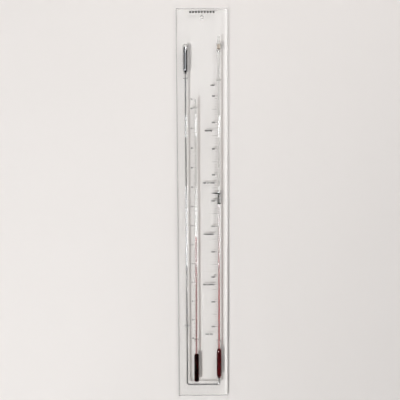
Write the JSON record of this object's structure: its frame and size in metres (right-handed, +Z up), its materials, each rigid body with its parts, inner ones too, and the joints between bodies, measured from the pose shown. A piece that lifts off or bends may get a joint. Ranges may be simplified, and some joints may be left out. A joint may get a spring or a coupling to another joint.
{
  "type": "wall barometer",
  "caption": "Wall barometer: a bent glass tube with mercury and a red liquid, a spirit thermometer and a sliding index on a tall clear plate.",
  "frame": {"origin": "centre of the hanging hole on the back face of the plate", "axes": "+Z up along the plate, +X to the right as the reader sees it, the front faces -Y and the back rests on the wall at Y = 0"},
  "size_m": [0.124, 0.0224, 0.96],
  "materials": {
    "clear_plate": "polished clear acrylic",
    "clear_glass": "clear blown glass",
    "mercury": "liquid metal mirror",
    "red_liquid": "clear dark red liquid",
    "red_spirit": "clear deep red spirit",
    "felt": "undyed felt",
    "tie_wire": "annealed steel wire",
    "black_steel": "black lacquered spring sheet",
    "black_ink": "screen printed ink"
  },
  "bodies": {
    "board": {"back_plate": "clear_plate", "pressure_scale": "black_ink", "temperature_scale": "black_ink", "barometer_tube": "clear_glass", "mercury_column": "mercury", "indicator_liquid": "red_liquid", "dust_plug": "felt", "thermometer_tube": "clear_glass", "thermometer_spirit": "red_spirit", "tie_upper_left": "tie_wire", "tie_lower_left": "tie_wire", "tie_upper_right": "tie_wire", "tie_lower_right": "tie_wire", "tie_bend": "tie_wire", "tie_thermometer_top": "tie_wire", "tie_thermometer_bottom": "tie_wire"},
    "index": {"index_clip": "black_steel", "index_pointer": "black_steel"}
  },
  "joints": [
    {"name": "index_slide", "type": "slide", "parent": "board", "child": "index", "axis": [0, 0, 1], "range_m": [-0.33655, 0.23495]}
  ]
}
